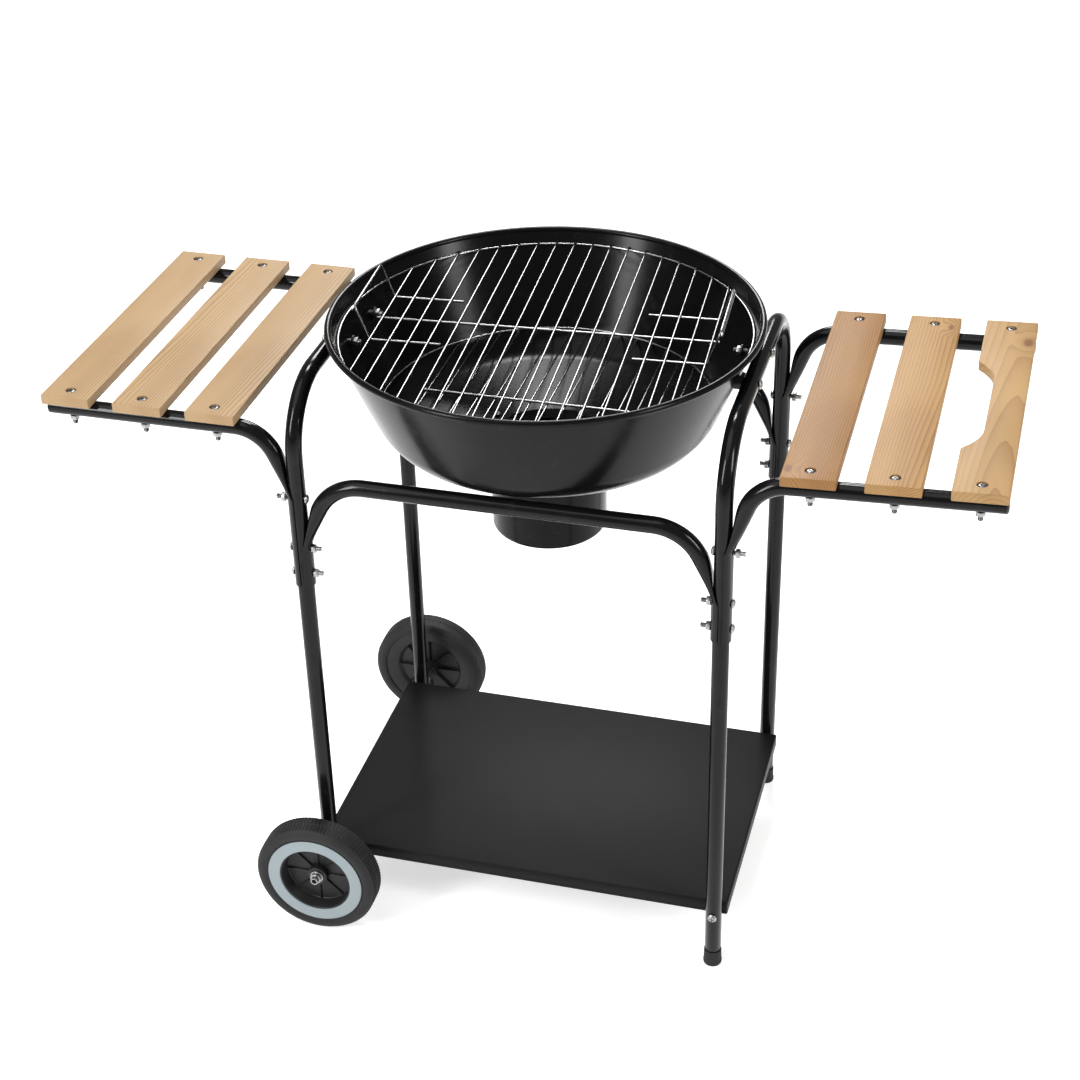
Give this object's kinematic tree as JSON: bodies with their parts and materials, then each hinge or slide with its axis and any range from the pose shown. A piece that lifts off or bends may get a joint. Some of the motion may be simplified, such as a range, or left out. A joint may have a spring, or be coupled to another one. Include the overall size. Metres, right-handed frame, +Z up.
{
  "type": "kettle charcoal grill",
  "caption": "Open kettle charcoal grill on a tube trolley with two slatted wooden side shelves, wire grates, an ash can, a lower tray, two wheels and two rubber feet.",
  "frame": {"origin": "on the floor, under the middle of the whole trolley", "axes": "+Z up, +X towards the side on rubber feet, -X towards the wheels, -Y the front"},
  "size_m": [1.104, 0.5134, 0.8045],
  "materials": {
    "black_enamel": "high gloss vitreous enamel",
    "black_plastic": "matt",
    "chrome_wire": "bright plated wire",
    "foot_rubber": "matt",
    "gloss_black_tube": "gloss powder coat",
    "grey_trim": "matt light grey",
    "pine_wood": "planed pine, clear finish",
    "satin_black": "satin powder coat",
    "tyre_rubber": "matt moulded",
    "wheel_plastic": "satin moulded",
    "zinc_steel": "zinc plated"
  },
  "bodies": {
    "trolley": {"arm_plugs": "black_plastic", "axle": "zinc_steel", "axle_retainers": "zinc_steel", "axle_spacers": "zinc_steel", "axle_washers": "zinc_steel", "bowl": "black_enamel", "bowl_bolts": "zinc_steel", "bowl_nuts": "zinc_steel", "bowl_spacers": "black_plastic", "bowl_washers": "black_plastic", "can_clips": "zinc_steel", "clip_rivets": "zinc_steel", "corner_bolts": "zinc_steel", "corner_nuts": "zinc_steel", "foot_caps": "foot_rubber", "front_cross_tube": "gloss_black_tube", "front_left_arm": "gloss_black_tube", "front_left_leg": "gloss_black_tube", "front_right_arm": "gloss_black_tube", "front_right_leg": "gloss_black_tube", "left_hoop": "gloss_black_tube", "left_slat_inner": "pine_wood", "left_slat_middle": "pine_wood", "left_slat_outer": "pine_wood", "leg_plugs": "black_plastic", "rear_cross_tube": "gloss_black_tube", "rear_left_arm": "gloss_black_tube", "rear_left_leg": "gloss_black_tube", "rear_right_arm": "gloss_black_tube", "rear_right_leg": "gloss_black_tube", "right_hoop": "gloss_black_tube", "right_slat_inner": "pine_wood", "right_slat_middle": "pine_wood", "right_slat_outer": "pine_wood", "slat_nuts": "zinc_steel", "slat_screws": "zinc_steel", "tray": "satin_black", "tray_nuts": "zinc_steel", "tray_screws": "zinc_steel"},
    "ash_can": {"ash_can": "black_enamel"},
    "charcoal_grate": {"charcoal_grate": "chrome_wire"},
    "cooking_grate": {"cooking_grate": "chrome_wire"},
    "front_wheel": {"front_wheel_hub": "wheel_plastic", "front_wheel_trim": "grey_trim", "front_wheel_tyre": "tyre_rubber"},
    "rear_wheel": {"rear_wheel_hub": "wheel_plastic", "rear_wheel_trim": "grey_trim", "rear_wheel_tyre": "tyre_rubber"}
  },
  "joints": [
    {"name": "front_wheel_spin", "type": "hinge", "parent": "trolley", "child": "front_wheel", "pos_m": [-0.25, -0.2325, 0.079], "axis": [0, 1, 0], "continuous": true},
    {"name": "rear_wheel_spin", "type": "hinge", "parent": "trolley", "child": "rear_wheel", "pos_m": [-0.25, 0.2325, 0.079], "axis": [0, 1, 0], "continuous": true},
    {"name": "charcoal_grate_lift", "type": "slide", "parent": "trolley", "child": "charcoal_grate", "axis": [0, 0, 1], "range_m": [0, 0.18]},
    {"name": "cooking_grate_lift", "type": "slide", "parent": "charcoal_grate", "child": "cooking_grate", "axis": [0, 0, 1], "range_m": [0, 0.15]},
    {"name": "ash_can_drop", "type": "slide", "parent": "trolley", "child": "ash_can", "axis": [0, 0, -1], "range_m": [0, 0.12]}
  ]
}
